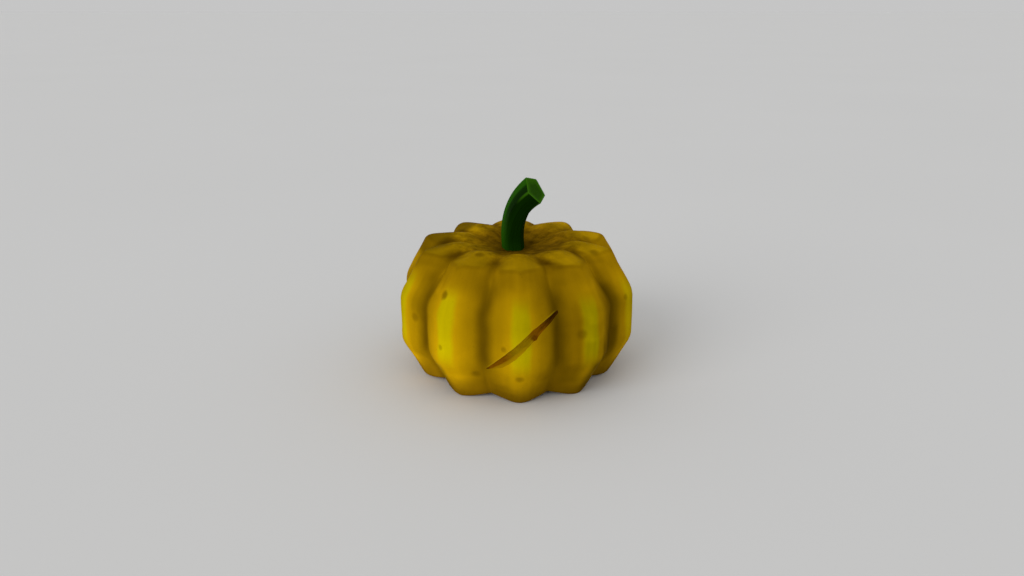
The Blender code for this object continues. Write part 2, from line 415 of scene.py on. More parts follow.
def gash_line(u):
    """Points along the gash on the skin, and their azimuths.

    Straight from end to end in azimuth and height, raised by half a sine wave and swung by a whole one.
    """
    azimuth = GASH_START[0] + (GASH_END[0] - GASH_START[0]) * u
    height = GASH_START[1] + (GASH_END[1] - GASH_START[1]) * u
    height = height + GASH_BOW * np.sin(math.pi * u) - GASH_SWING * np.sin(2 * math.pi * u)
    return side_point(azimuth, height), azimuth


def gash_opening(u):
    """How far the gash has opened, from 0 at its ends to 1: half a sine wave to the power of its taper."""
    return np.sin(math.pi * u) ** GASH_TAPER


def gash_frame():
    """Along the gash: u, points on its middle line, and the directions out of the skin and sideways."""
    u = GASH_TIP + (1 - 2 * GASH_TIP) * np.arange(GASH_STATIONS) / (GASH_STATIONS - 1)
    middle, azimuth = gash_line(u)
    out = outward(azimuth)
    along = gash_line(u + GASH_TIP)[0] - gash_line(u - GASH_TIP)[0]
    sideways = unit(np.cross(out, along))
    return u, middle, out, sideways


def beside_gash(places):
    """For places near the gash: u along it, distance across it (up is positive), height out of the skin."""
    u, middle, out, sideways = gash_frame()
    away = places[:, None, :] - middle[None]
    nearest = np.argmin(np.sum(away * away, axis=-1), axis=1)
    away = np.take_along_axis(away, nearest[:, None, None], axis=1)[:, 0]
    across = np.sum(away * sideways[nearest], axis=-1)
    return u[nearest], across, np.sum(away * out[nearest], axis=-1)


def plane_waves(places, lengths, count, seed):
    """A soft random field from about -1 to 1: plane waves of drawn directions, lengths and phases, added."""
    draw = np.random.default_rng(seed)
    directions = unit(draw.normal(size=(count, 3)))
    wave_numbers = 2 * math.pi / draw.uniform(*lengths, size=count)
    phases = draw.uniform(0, 2 * math.pi, size=count)
    waves = np.sin(places @ (directions * wave_numbers[:, None]).T + phases)
    return waves.sum(axis=-1) / math.sqrt(count * 2)


def rind_relief(points, azimuth, radius):
    """How far the rind stands out from its smooth shape: swells, pits, wrinkles and the gash's lips.

    A pit is a bell over the distance from its spot. The wrinkles run down into the funnel, as sine waves in
    azimuth. The lips are bells over the distance from the gash's edges.
    """
    places = points.reshape(-1, 3)
    relief = SWELL * plane_waves(places, SWELL_LENGTHS, SWELL_COUNT, seed=3)
    for place, (wide, tall, _, pit) in zip(*spot_places()):
        reach = (wide + tall) / 2
        relief -= pit * np.exp(-np.sum((places - place) ** 2, axis=-1) / reach**2)
    draw = np.random.default_rng(8)
    turn = np.radians(azimuth)
    on_top = places[:, 2] > 0.1
    funnel = np.exp(-(((radius - WRINKLE_RADIUS) / WRINKLE_REACH) ** 2)) * on_top
    for waves in WRINKLES_ROUND:
        relief += WRINKLE / 2 * funnel * np.sin(waves * turn + draw.uniform(0, 6))
    gash_middle = gash_line(np.array([0.5]))[0]
    near = np.sum((places - gash_middle) ** 2, axis=-1) < LIP_SEARCH**2
    u, across, _ = beside_gash(places[near])
    opening = gash_opening(u)
    beyond = np.abs(across) - GASH_HALF_WIDTH * opening
    relief[near] += LIP * opening * np.exp(-((beyond / LIP_WIDTH) ** 2))
    return relief.reshape(points.shape[:2])


def rind_azimuths():
    """Columns round the axis, closer together in the grooves and beside the gash."""
    fine = np.linspace(-180, 180, AZIMUTH_SAMPLES)
    density = 1 + GROOVE_CROWDING * np.exp(-(((1 - across_rib(fine)) / 0.2) ** 2))
    density += GASH_CROWDING * ((fine > GASH_START[0] - GASH_MARGIN) & (fine < GASH_END[0] + GASH_MARGIN))
    total = np.concatenate([[0], np.cumsum((density[1:] + density[:-1]) / 2)])
    return np.interp(np.arange(RIND_COLUMNS) / RIND_COLUMNS * total[-1], total, fine)


def rind_points():
    """The rind's grid as rows by columns: profiles carried round the axis, with the relief along the normals.

    The ribs' feet are pressed flat where they would reach below the ground.
    """
    azimuth = rind_azimuths()
    profiles = rind_profiles(azimuth).transpose(1, 0, 2)
    points = outward(azimuth)[None] * profiles[..., :1]
    points[..., 2] = profiles[..., 1]
    up = np.gradient(points, axis=0)
    around = np.roll(points, -1, axis=1) - np.roll(points, 1, axis=1)
    normal = unit(np.cross(around, up))
    flat_azimuth = np.broadcast_to(azimuth, points.shape[:2]).ravel()
    points = points + normal * rind_relief(points, flat_azimuth, profiles[..., 0].ravel())[..., None]
    points[..., 2] = np.maximum(points[..., 2], 0.0)
    return points


def gash_cutter():
    """A boat-shaped solid: its keel lies below the skin and its flat deck stands proud of it.

    Across, the hull goes through angles from -90 to 90 degrees: sideways by sine and down by cosine, both to
    a power. A nick widens the lower edge, and slow waves make both edges and the keel uneven.
    """
    u, middle, out, sideways = gash_frame()
    opening = gash_opening(u)
    angle = np.radians(np.linspace(-90, 90, GASH_STEPS_ACROSS))
    side = np.sign(np.sin(angle)) * np.abs(np.sin(angle)) ** GASH_WALL_BULGE
    down = np.cos(angle) ** GASH_WALL_BULGE
    nick = NICK_WIDTH * np.exp(-(((u - NICK_AT) / NICK_LENGTH) ** 2))
    uneven = 1 + 0.02 * np.sin(41 * u) + 0.015 * np.sin(67 * u + 2)
    half = (GASH_HALF_WIDTH * opening * uneven)[:, None] * side + nick[:, None] * np.minimum(side, 0)
    depth = (GASH_DEPTH * opening * (1 + 0.06 * np.sin(53 * u + 1)))[:, None] * down
    deck = 1 + GASH_PROUD / (GASH_DEPTH * opening)
    across = np.concatenate([half[:, :1] * deck[:, None], half, half[:, -1:] * deck[:, None]], axis=1)
    rise = np.full((len(u), 1), GASH_PROUD)
    height = np.concatenate([rise, -depth, rise], axis=1)
    points = middle[:, None] + sideways[:, None] * across[..., None] + out[:, None] * height[..., None]
    ends = [points[0].mean(axis=0), points[-1].mean(axis=0)]
    return mesh_from_grid("gash cutter", points, ends)


def carve(piece, cutter_mesh):
    """Takes the cutter's shape out of the piece; the new faces keep the cutter's material number."""
    cutter = add_piece("cutter", cutter_mesh)
    cut = piece.modifiers.new("cut", "BOOLEAN")
    cut.operation = "DIFFERENCE"
    cut.solver = "EXACT"
    cut.object = cutter
    bpy.context.view_layer.update()
    seen = piece.evaluated_get(bpy.context.evaluated_depsgraph_get())
    carved = bpy.data.meshes.new_from_object(seen)
    piece.modifiers.clear()
    piece.data = carved
    bpy.data.objects.remove(cutter)


def sharpen_between_materials(mesh):
    """Marks the edges sharp that have one material on one side and another on the other."""
    loop_edges = np.empty(len(mesh.loops), np.int32)
    mesh.loops.foreach_get("edge_index", loop_edges)
    corners = np.empty(len(mesh.polygons), np.int32)
    mesh.polygons.foreach_get("loop_total", corners)
    materials = np.empty(len(mesh.polygons), np.int32)
    mesh.polygons.foreach_get("material_index", materials)
    loop_materials = np.repeat(materials, corners)
    lowest = np.full(len(mesh.edges), len(mesh.materials))
    highest = np.full(len(mesh.edges), -1)
    np.minimum.at(lowest, loop_edges, loop_materials)
    np.maximum.at(highest, loop_edges, loop_materials)
    mesh.edges.foreach_set("use_edge_sharp", lowest != highest)


def make_fruit():
    """The rind with the gash carved into it, and the numbers that the finishes read beside the gash."""
    points = rind_points()
    poles = [(0, 0, CREST_CORNERS[0][1]), (0, 0, CREST_CORNERS[-1][1])]
    fruit = add_piece("pumpkin_fruit", mesh_from_grid("pumpkin_fruit", points, poles))
    fruit.data.materials.append(rind_finish())
    fruit.data.materials.append(flesh_finish())
    cutter = gash_cutter()
    cutter.materials.append(None)
    cutter.materials.append(fruit.data.materials[1])
    cutter.polygons.foreach_set("material_index", np.ones(len(cutter.polygons), np.int32))
    carve(fruit, cutter)
    mesh = fruit.data
    sharpen_between_materials(mesh)
    u, across, out = beside_gash(places_of(mesh))
    add_attribute(mesh, "gash_along", u)
    add_attribute(mesh, "gash_across", across)
    add_attribute(mesh, "gash_out", out)
    mesh.update()
    return fruit


# The stem's shape


def stem_centreline(u):
    """Points and directions along a cubic curve that leaves the fruit upright and leans out at its end."""
    pitch = math.radians(STEM_END_PITCH)
    turn = math.radians(STEM_END_AZIMUTH)
    lean = np.array((math.cos(pitch) * math.cos(turn), math.cos(pitch) * math.sin(turn), math.sin(pitch)))
    a, d = STEM_FOOT, STEM_END
    b = a + np.array((0, 0, STEM_RISE))
    c = d - lean * STEM_LEAN
    u = u[..., None]
    v = 1 - u
    point = v**3 * a + 3 * u * v * v * b + 3 * u * u * v * c + u**3 * d
    slope = v * v * (b - a) + 2 * u * v * (c - b) + u * u * (d - c)
    return point, unit(slope)


def pentagon_reach(angle):
    """Distance from centre to edge of a regular pentagon of unit corner radius with softened corners.

    The flats' pulls are added as high powers: a higher power leaves a sharper corner.
    """
    pull = 0
    for flat in (np.arange(STEM_SIDES) + 0.5) * 2 * math.pi / STEM_SIDES:
        pull = pull + np.maximum(0, np.cos(angle - flat) / math.cos(math.pi / STEM_SIDES)) ** ARRIS_HARDNESS
    return pull ** (-1 / ARRIS_HARDNESS)


def stem_sides(u):
    """Side vectors square to the centreline at rising u, carried from one to the next without twisting."""
    side = np.array((1.0, 0.0, 0.0))
    sides = []
    for direction in stem_centreline(u)[1]:
        side = unit(side - direction * (side @ direction))
        sides.append(side)
    return np.array(sides)


def stem_surface(u, angle):
    """Points of the stem's sides: softened pentagons square to the centreline, wider towards the end.

    Fibres stand a little proud, as sine waves round the stem that swell and fade along it.
    """
    known = np.linspace(0, 1 + STEM_OVERSHOOT, STEM_SAMPLES)
    sides = stem_sides(known)
    flat = u.ravel()
    point, direction = stem_centreline(flat)
    side = np.stack([np.interp(flat, known, sides[:, axis]) for axis in range(3)], axis=-1)
    side = unit(side - direction * np.sum(side * direction, axis=-1, keepdims=True))
    front = np.cross(side, direction)
    turn = angle.ravel()
    place = turn + math.radians(STEM_TURN)
    radius = STEM_RADIUS_FOOT + (STEM_RADIUS_END - STEM_RADIUS_FOOT) * flat**STEM_FLARE
    fibres = np.sin(35 * turn + 2 * np.sin(5 * flat)) + np.sin(22 * turn + 1 + 3 * np.sin(4 * flat + 1))
    reach = radius * pentagon_reach(turn) + FIBRE * fibres * np.sin(math.pi * np.minimum(1, flat * 4) / 2)
    out = side * np.sin(place)[:, None] + front * np.cos(place)[:, None]
    return (point + out * reach[:, None]).reshape(*u.shape, 3)


def stem_cut_shares(angle):
    """Where on the centreline each line along the stem meets the slanted cut."""
    known = np.linspace(0.5, 1 + STEM_OVERSHOOT, CUT_SAMPLES)
    grid_u, grid_angle = np.meshgrid(known, angle, indexing="ij")
    beyond = (stem_surface(grid_u, grid_angle) - STEM_END) @ STEM_CUT_NORMAL
    return np.array([np.interp(0, beyond[:, column], known) for column in range(len(angle))])


def stem_cut(rim):
    """The slanted cut inside its rim: rings that shrink towards its middle, how big each is, and its pole.

    A ring sinks by the dish times one minus the fourth power of its size. It rises beside the rim, by an edge
    that fades with the distance from it.
    """
    middle = rim.mean(axis=0)
    size = np.linspace(1, 0, CUT_RINGS + 1)[1:-1, None, None]
    edge = CUT_EDGE * np.exp(-((1 - size) / CUT_EDGE_REACH))
    dish = CUT_DISH * (1 - size**4)
    rings = middle + (rim - middle)[None] * size - STEM_CUT_NORMAL * (dish + edge - CUT_EDGE)
    return rings, size[..., 0], middle - STEM_CUT_NORMAL * (CUT_DISH - CUT_EDGE)


def make_stem():
    """The stem's sides up to the slanted cut, the cut, and the numbers that the finish reads on both."""
    angle = -2 * math.pi * np.arange(STEM_COLUMNS) / STEM_COLUMNS
    ends = stem_cut_shares(angle)
    share = np.linspace(0, 1, STEM_ROWS)
    grid_u = share[:, None] * ends[None]
    sides = stem_surface(grid_u, np.broadcast_to(angle, grid_u.shape))
    cut, size, pole = stem_cut(sides[-1])
    points = np.concatenate([sides, cut])
    foot = stem_centreline(np.array([0.0]))[0][0]
    stem = add_piece("pumpkin_stem", mesh_from_grid("pumpkin_stem", points, [foot, pole]))
    mesh = stem.data
    turn = np.append(np.broadcast_to(-angle, points.shape[:2]), (0, 0))
    along = np.concatenate([grid_u, np.ones(cut.shape[:2])])
    inside = np.concatenate([np.zeros(grid_u.shape), np.broadcast_to(1 - size, cut.shape[:2])])
    add_attribute(mesh, "stem_cos", np.cos(turn))
    add_attribute(mesh, "stem_sin", np.sin(turn))
    add_attribute(mesh, "stem_along", np.append(along, (0, 1)))
    add_attribute(mesh, "cut_inside", np.append(inside, (0, 1)))
    mesh.materials.append(stem_finish())
    return stem


# Finishes


class Value:
    """A number or colour that varies over a surface: one socket, with arithmetic on it as Math nodes."""

    def __init__(self, finish, socket):
        self.finish = finish
        self.socket = socket

    def __add__(self, other):
        return self.finish.math("ADD", self, other)

    def __radd__(self, other):
        return self.finish.math("ADD", other, self)

    def __sub__(self, other):
        return self.finish.math("SUBTRACT", self, other)

    def __rsub__(self, other):
        return self.finish.math("SUBTRACT", other, self)

    def __mul__(self, other):
        return self.finish.math("MULTIPLY", self, other)

    def __rmul__(self, other):
        return self.finish.math("MULTIPLY", other, self)

    def __truediv__(self, other):
        return self.finish.math("DIVIDE", self, other)

    def __neg__(self):
        return self.finish.math("MULTIPLY", self, -1.0)

    def __pow__(self, other):
        return self.finish.math("POWER", self, other)

    def away(self, middle):
        """How far this is from a middle, on either side of it."""
        return self.finish.math("ABSOLUTE", self - middle)

    def rise(self, start, end):
        """0 at the start and 1 at the end, easing in and out; the end may be the smaller of the two."""
        sockets = {0: self, 1: start, 2: end}
        made = self.finish.node("ShaderNodeMapRange", {"interpolation_type": "SMOOTHSTEP"}, sockets)
        return self.finish.value(made)

    def band(self, low, full, last, high):
        """0 up to low, 1 from full to last, and 0 again from high."""
        return self.rise(low, full) * self.rise(high, last)

    def near(self, middle, reach, full):
        """1 up to so far from a middle as full says, and 0 from the reach on."""
        return self.away(middle).rise(reach, full)


class Finish:
    """One material: nodes that work out a pattern and feed a single Principled shader."""

    def __init__(self, name, gloss, base):
        """gloss is how strongly the surface reflects all over, and base is the colour that it starts with."""
        self.base = base
        self.material = bpy.data.materials.new(name)
        self.material.use_nodes = True
        self.tree = self.material.node_tree
        self.shader = self.tree.nodes["Principled BSDF"]
        self.shader.inputs["Specular IOR Level"].default_value = gloss

    def node(self, kind, settings=None, sockets=None):
        """A node of this type, with its settings and then the values or links of its sockets."""
        made = self.tree.nodes.new(kind)
        for name, value in (settings or {}).items():
            setattr(made, name, value)
        for key, value in (sockets or {}).items():
            if isinstance(value, Value):
                self.tree.links.new(value.socket, made.inputs[key])
            else:
                made.inputs[key].default_value = value
        return made

    def value(self, made, output=0):
        return Value(self, made.outputs[output])

    def math(self, operation, *numbers):
        return self.value(self.node("ShaderNodeMath", {"operation": operation}, dict(enumerate(numbers))))

    def vector_math(self, operation, first, second, output=0):
        made = self.node("ShaderNodeVectorMath", {"operation": operation}, {0: first, 1: second})
        return self.value(made, output)

    def place(self):
        return self.value(self.node("ShaderNodeTexCoord"), "Object")

    def attribute(self, name):
        return self.value(self.node("ShaderNodeAttribute", {"attribute_name": name}), "Fac")

    def split(self, vector):
        parts = self.node("ShaderNodeSeparateXYZ", sockets={0: vector})
        return [self.value(parts, axis) for axis in range(3)]

    def join(self, x, y, z):
        return self.value(self.node("ShaderNodeCombineXYZ", sockets={0: x, 1: y, 2: z}))

    def distance(self, vector, place):
        return self.vector_math("DISTANCE", vector, place, "Value")

    def noise(self, vector, scale, detail=2.0, roughness=0.5):
        sockets = {"Vector": vector, "Scale": scale, "Detail": detail, "Roughness": roughness}
        return self.value(self.node("ShaderNodeTexNoise", sockets=sockets))

    def cells(self, vector, scale):
        """Distance to the nearest of scattered points, in cells."""
        sockets = {"Vector": vector, "Scale": scale}
        return self.value(self.node("ShaderNodeTexVoronoi", sockets=sockets))

    def mix(self, below, above, share):
        """The colour above laid over the colour below, as thickly as the share says."""
        sockets = {0: share, 6: colour(below), 7: colour(above)}
        return self.value(self.node("ShaderNodeMix", {"data_type": "RGBA"}, sockets), 2)

    def lay(self, above, share):
        """Lays a colour over what the surface has so far."""
        self.base = self.mix(self.base, above, share)

    def brighten(self, amount):
        grey = 1 + amount
        self.base = self.vector_math("MULTIPLY", self.base, self.join(grey, grey, grey))

    def darken(self, amount):
        self.brighten(-amount)

    def feed(self, roughness, height, bump, strength):
        """Feeds the shader: colour, roughness, and a relief whose height is a share of the bump in metres."""
        sockets = {"Strength": strength, "Distance": bump, "Height": height}
        normal = self.value(self.node("ShaderNodeBump", sockets=sockets))
        for name, value in (("Base Color", self.base), ("Roughness", roughness), ("Normal", normal)):
            self.tree.links.new(value.socket, self.shader.inputs[name])
        return self.material


def colour(value):
    """A colour's three numbers with a fourth, or the value that varies as it is."""
    return value if isinstance(value, Value) else (*value, 1.0)


# Colours of the rind, as linear light
AMBER = (0.385, 0.216, 0.0010)
CREST_HIGHLIGHT_AMBER = (0.540, 0.310, 0.0012)
LEMON = (0.530, 0.412, 0.0006)
OCHRE = (0.365, 0.202, 0.0010)
GOLD = (0.320, 0.186, 0.0010)
SHADE_AND_DULL = (0.235, 0.128, 0.0008)
# Olive: painted shade in the grooves, and the rind's own flecks
OLIVE_SHADE_AND_FLECKS = (0.125, 0.068, 0.0006)
SHADE_BROWN = (0.095, 0.046, 0.0005)
FUNNEL_BROWN = (0.140, 0.073, 0.0012)
SPOT_BROWN = (0.160, 0.088, 0.0008)
FOOT_BROWN = (0.225, 0.122, 0.0020)
LIP_HIGHLIGHT = (0.560, 0.400, 0.0080)
SCAR_TAN = (0.320, 0.200, 0.0700)

# Each rib's bright panel ends in an arch: where that starts at each end of the side, and how far it reaches
UPPER_ARCH_START = 0.090
UPPER_ARCH_RISE = 0.048
LOWER_ARCH_START = 0.062
LOWER_ARCH_RISE = 0.056

# A groove whose painted shade runs to the left of its middle: its azimuth, and how many degrees to the left
SHIFTED_GROOVE = -54.0
GROOVE_SHIFT = 0.9

# On the right the lemon panels lie a little to the right of their crests, by so many degrees
LEMON_SHIFT = 2.8

# Golden smears in the funnel, to the left and to the right of the stem: place and reach
GOLDEN_SMEARS = (
    (-0.048, -0.014, 0.142, 0.032),
    (0.061, -0.023, 0.147, 0.017),
)

# Painted light on the side that faces the key light: which way it faces, how many degrees to each side it
# reaches, and by how much it is brighter
LIT_SIDE_AZIMUTH = -48.0
LIT_SIDE_REACH = 75.0
LIT_SIDE_SHARE = 0.40

# How far the borders between colours wander, in degrees and in metres of height
WANDER_DEGREES = 4.0
WANDER_HEIGHT = 0.008


class Rind(Finish):
    """The rind's finish: where on the fruit a point lies, and a method for each thing that is painted there.

    across is 0 on a rib's crest and 1 in its groove. upper is 1 above the shoulder's bend, and top is 1
    inside the shoulder's edge. wander is soft noise that makes borders uneven, and up is the height with it.
    """

    def __init__(self):
        super().__init__("pumpkin rind", gloss=0.001, base=AMBER)
        self.point = self.place()
        self.x, self.y, self.z = self.split(self.point)
        self.radius = self.math("SQRT", self.x * self.x + self.y * self.y)
        self.azimuth = self.math("ARCTAN2", self.x, -self.y) * (180 / math.pi)
        self.wander = self.noise(self.point, 28.0) - 0.5
        self.up = self.z + self.wander * WANDER_HEIGHT
        self.upper = self.z.rise(0.122, 0.130)
        shifted = self.azimuth.near(SHIFTED_GROOVE, 16.0, 5.0) * (1 - self.upper)
        self.across = self.across_rib(shifted * GROOVE_SHIFT)
        self.shoulder = self.corner_radius(SHOULDER_CORNER)
        self.top = self.upper * (self.radius - self.shoulder).rise(0.001, -0.004)
        # Painted light: 1 on the side that faces the key light, fading out over its reach
        self.painted_lit_side = self.azimuth.near(LIT_SIDE_AZIMUTH, LIT_SIDE_REACH, 10.0)
        # groove is how thickly the painted shade in the grooves lies
        self.groove = self.groove_shade_share()
        self.streak = self.noise(self.join(self.azimuth * 0.16, self.radius * 30.0, 0.0), 1.6, detail=4.0)
        ragged_radius = self.radius + (self.streak - 0.5) * 0.016 - self.x * 0.10
        self.funnel = ragged_radius.rise(0.071, 0.044) * self.upper
        self.scar = self.radius.rise(0.017, 0.012) * self.z.rise(0.030, 0.024)
        self.mottle = self.noise(self.point, 75.0, detail=5.0)
        stretched = self.join(self.azimuth * 0.38, self.z * 14.0, self.radius * 14.0)
        self.lengthwise = self.noise(stretched, 1.0, detail=3.0)

    def across_rib(self, turn):
        """0 on a rib's crest and 1 in its groove, read so many degrees to one side."""
        turned = self.azimuth + self.wander * WANDER_DEGREES + turn
        return self.math("PINGPONG", turned, HALF_RIB) / HALF_RIB

    def corner_radius(self, corner):
        """How far from the axis a corner of the profile lies, from its crest's radius to its groove's."""
        crest, groove = CREST_CORNERS[corner][0], GROOVE_CORNERS[corner][0]
        return crest - (crest - groove) * self.across

    def groove_shade_share(self):
        """How thickly the painted shade lies, as olive, in the grooves and round each panel's arch.

        A panel's border is where across cubed and arch cubed add up to one. The arch is 0 along the side's
        middle and grows towards both of its ends, so that the border closes over each panel as an arch.
        """
        above = (self.up - UPPER_ARCH_START) / UPPER_ARCH_RISE
        below = (LOWER_ARCH_START - self.up) / LOWER_ARCH_RISE
        arch = self.math("MAXIMUM", self.math("MAXIMUM", above, below), 0.0)
        panel = (self.across**3 + arch**3) ** (1 / 3)
        groove = panel.band(0.62, 1.01, 1.04, 1.20) * (1 - arch.rise(0.3, 1.0) * 0.8)
        low_down = self.across.rise(0.5, 0.9) * self.up.rise(0.054, 0.034)
        return groove * (1 - low_down * 0.5)

    def patch(self, middle, height, wide, tall, core):
        """1 in a patch on the flank and 0 outside it; the core is the share of its width that is all 1."""
        beside = self.azimuth.near(middle, wide, wide * core)
        level = self.up.near(height, tall, tall * 0.5)
        return beside * level

    def ribs(self):
        """Amber with a painted highlight near the crests, lemon panels down them that are partly painted
        highlight, ochre above and brown at the feet.
        """
        # Painted highlight: a brighter copy of the amber near each crest
        self.lay(CREST_HIGHLIGHT_AMBER, self.across.rise(0.64, 0.20))
        # Lemon panels down the crests: the rind's paler colour, and partly painted highlight
        from_crest = self.across_rib(self.azimuth.rise(12.0, 34.0) * LEMON_SHIFT)
        lemon = from_crest.rise(0.32, 0.14) * self.up.rise(0.034, 0.062)
        # The lemon reaches a little higher on the side with painted light
        lemon = lemon * (self.up - self.painted_lit_side * 0.010).rise(0.121, 0.100)
        duller_rib = self.azimuth.band(54.0, 62.0, 82.0, 90.0)
        self.lay(LEMON, lemon * (1 - duller_rib * 0.4))
        self.darken(self.up.rise(0.055, 0.105) * 0.18)
        self.lay(OCHRE, (self.up + self.across * self.across * 0.028).rise(0.106, 0.138))
        self.lay(FOOT_BROWN, self.up.rise(0.036, 0.002))

    def patches(self):
        """Patches of painted shade and of painted light on the flanks, with duller and brighter patches of
        uneven tone on the far side.
        """
        # Painted shade on the flanks, and uneven tone on the far side
        for middle, height, wide, tall, shading in SHADE_AND_DULL_PATCHES:
            self.lay(SHADE_AND_DULL, self.patch(middle, height, wide, tall, 0.3) * shading)
        # Painted light, and painted shade where the amount is below nothing
        for middle, height, wide, tall, lightness in LIGHT_AND_SHADE_PATCHES:
            self.brighten(self.patch(middle, height, wide, tall, 0.4) * lightness)

    def painted_groove_shade(self):
        """Painted shade in the grooves as olive, and a thinner one in them near the feet."""
        self.lay(OLIVE_SHADE_AND_FLECKS, self.groove)
        low_down = self.across.rise(0.60, 1.0) * self.up.rise(0.042, 0.020)
        self.lay(OLIVE_SHADE_AND_FLECKS, low_down * 0.28)

    def top_panels(self):
        """Gold on top, paler to the right and along the shoulder, with a darker seam and painted shade, as
        olive, in the grooves.
        """
        self.lay(GOLD, self.top * self.across.rise(1.0, 0.45))
        right = self.x.rise(-0.03, 0.06) * self.radius.rise(0.064, 0.078)
        self.brighten(self.top * right * 0.20)
        right_behind = self.x.rise(0.0, 0.05) * self.y.rise(0.03, 0.08)
        self.brighten(self.top * right_behind * 0.25)
        outer = self.across.rise(0.60, 0.12) * self.radius.near(0.090, 0.010, 0.003)
        but_far_left = self.azimuth.rise(-66.0, -52.0)
        self.brighten(self.top * outer * but_far_left * 0.15)
        seam = self.upper * self.radius.near(self.shoulder, 0.0038, 0.0006)
        self.darken(seam * self.across.rise(0.95, 0.55) * 0.16)
        # Painted shade in the grooves on top, and where they run over the shoulder
        inside = self.across.rise(0.65, 1.0) * self.radius.rise(0.058, 0.072)
        self.lay(OLIVE_SHADE_AND_FLECKS, self.top * inside * 0.35)
        outside = self.across.rise(0.72, 1.0) * self.up.rise(0.120, 0.138)
        self.lay(OLIVE_SHADE_AND_FLECKS, outside * (1 - self.top) * 0.55)

    def shoulder_shade_blotches(self):
        """Painted shade as brown blotches where the grooves cross the shoulder, slanted and with ragged ends.
        """
        above_edge = self.upper * (self.radius - self.shoulder).rise(0.008, -0.002)
        crown = self.corner_radius(CROWN_CORNER)
        on_top = (self.radius - crown) / (self.shoulder - crown)
        ragged = (self.noise(self.point, 95.0, detail=4.0) - 0.5) * 0.5
        for middle, level, wide, long, slant, dark in SHOULDER_SHADE_BLOTCHES:
            slanted = self.azimuth + self.wander * 5.0 - (on_top - 0.5) * slant
            beside = slanted.near(middle, wide, 0.0)
            along = (on_top.away(level) + ragged).rise(long, long * 0.1)
            # Painted shade in the groove's notch at the shoulder
            self.lay(SHADE_BROWN, beside * along * above_edge * dark)

    def streaked_funnel(self):
        """A brown streaked funnel, thinner at the golden smears, with painted shade as olive where the
        grooves run into it and round the stem's foot.
        """
        left, right = [self.distance(self.point, middle).rise(reach, 0.005)
                       for *middle, reach in GOLDEN_SMEARS]
        self.lay(FUNNEL_BROWN, self.funnel * (1 - (left + right) * 0.6))
        # Painted shade where the grooves run into the funnel
        at_rim = self.radius.near(0.056, 0.016, 0.004) * self.upper
        self.lay(OLIVE_SHADE_AND_FLECKS, self.across.rise(0.50, 1.0) * at_rim * 0.40)
        self.darken((self.streak - 0.5) * self.funnel * 0.9)
        # Painted shade round the stem's foot
        self.darken(self.radius.rise(0.030, 0.014) * self.upper * 0.30)

    def far_half(self):
        """Behind the stem: a paler funnel, and a top whose outer edge is darker on the left and has a painted
        highlight on the right.
        """
        ring = self.upper * self.radius.band(0.022, 0.040, 0.054, 0.070)
        ring = ring * self.y.rise(-0.022, 0.014)
        self.brighten(ring * self.x.rise(0.004, 0.030) * 0.62)
        self.brighten(ring * self.x.rise(-0.016, -0.036) * 0.32)
        outer = self.upper * self.radius.rise(0.064, 0.080)
        left = self.azimuth.band(-170.0, -140.0, -80.0, -64.0)
        right = self.azimuth.band(74.0, 90.0, 104.0, 114.0)
        self.darken(outer * left * 0.42)
        # Painted highlight along the shoulder's edge on the right
        self.brighten(outer * right * 0.28)

    def spots(self):
        """Soft dark spots with ragged edges, and the dry scar underneath."""
        ragged = (self.noise(self.point, 260.0) - 0.5) * 0.0016
        places, sizes = spot_places()
        for place, (wide, tall, dark, _) in zip(places.tolist(), sizes.tolist()):
            spread = (wide + tall) / 2
            away = self.distance(self.point, place) + ragged
            self.lay(SPOT_BROWN, away.rise(spread * 1.25, spread * 0.35) * dark)
        self.lay(SCAR_TAN, self.scar)

    def weathering_and_painted_light(self):
        """Smudges on top, olive flecks, mottling, lengthwise streaks, and painted light on the side towards
        the key light.
        """
        smudge = self.noise(self.point, 100.0, detail=5.0, roughness=0.62)
        inner = self.upper * self.radius.rise(0.095, 0.055)
        self.darken((smudge - 0.5) * inner * 2.2)
        fleck = self.cells(self.point, 150.0).rise(0.16, 0.06)
        scattered = self.noise(self.point, 40.0).rise(0.48, 0.62)
        self.lay(OLIVE_SHADE_AND_FLECKS, fleck * scattered * 0.22)
        # Painted light: brighter on the side towards the key light and a little darker elsewhere below the
        # shoulder, and a little brighter on the shoulder
        painted_light = (self.painted_lit_side * LIT_SIDE_SHARE - 0.07) * self.up.rise(0.125, 0.105)
        painted_light = painted_light + self.up.rise(0.105, 0.125) * (1 - self.top) * 0.03
        uneven = (self.mottle - 0.5) * 0.24 + (self.lengthwise - 0.5) * 0.20
        self.darken(uneven - painted_light)

    def gash_lip_highlight(self):
        """A painted highlight: a thin pale line along the gash's upper edge."""
        opening = self.math("SINE", self.attribute("gash_along") * math.pi)
        upper_edge = GASH_HALF_WIDTH * opening**GASH_TAPER
        lip = self.attribute("gash_across").near(upper_edge, 0.0014, 0.0004) * opening.rise(0.03, 0.20)
        # Painted highlight along the upper lip
        self.lay(LIP_HIGHLIGHT, lip * 0.30)


def rind_finish():
    """The rind, where each thing that is painted lies over the ones before."""
    rind = Rind()
    for paint in (rind.ribs, rind.patches, rind.painted_groove_shade, rind.top_panels, rind.shoulder_shade_blotches,
                  rind.streaked_funnel, rind.far_half, rind.spots, rind.weathering_and_painted_light, rind.gash_lip_highlight):
        paint()
    pores = rind.noise(rind.point, 900.0, detail=2.0)
    height = pores * 0.35 + rind.lengthwise * 0.8 + rind.mottle * 0.5
    roughness = 0.50 + rind.groove * 0.12 + rind.funnel * 0.14 + rind.scar * 0.20
    roughness = roughness + (rind.mottle - 0.5) * 0.16
    return rind.feed(roughness, height, bump=0.0007, strength=0.5)


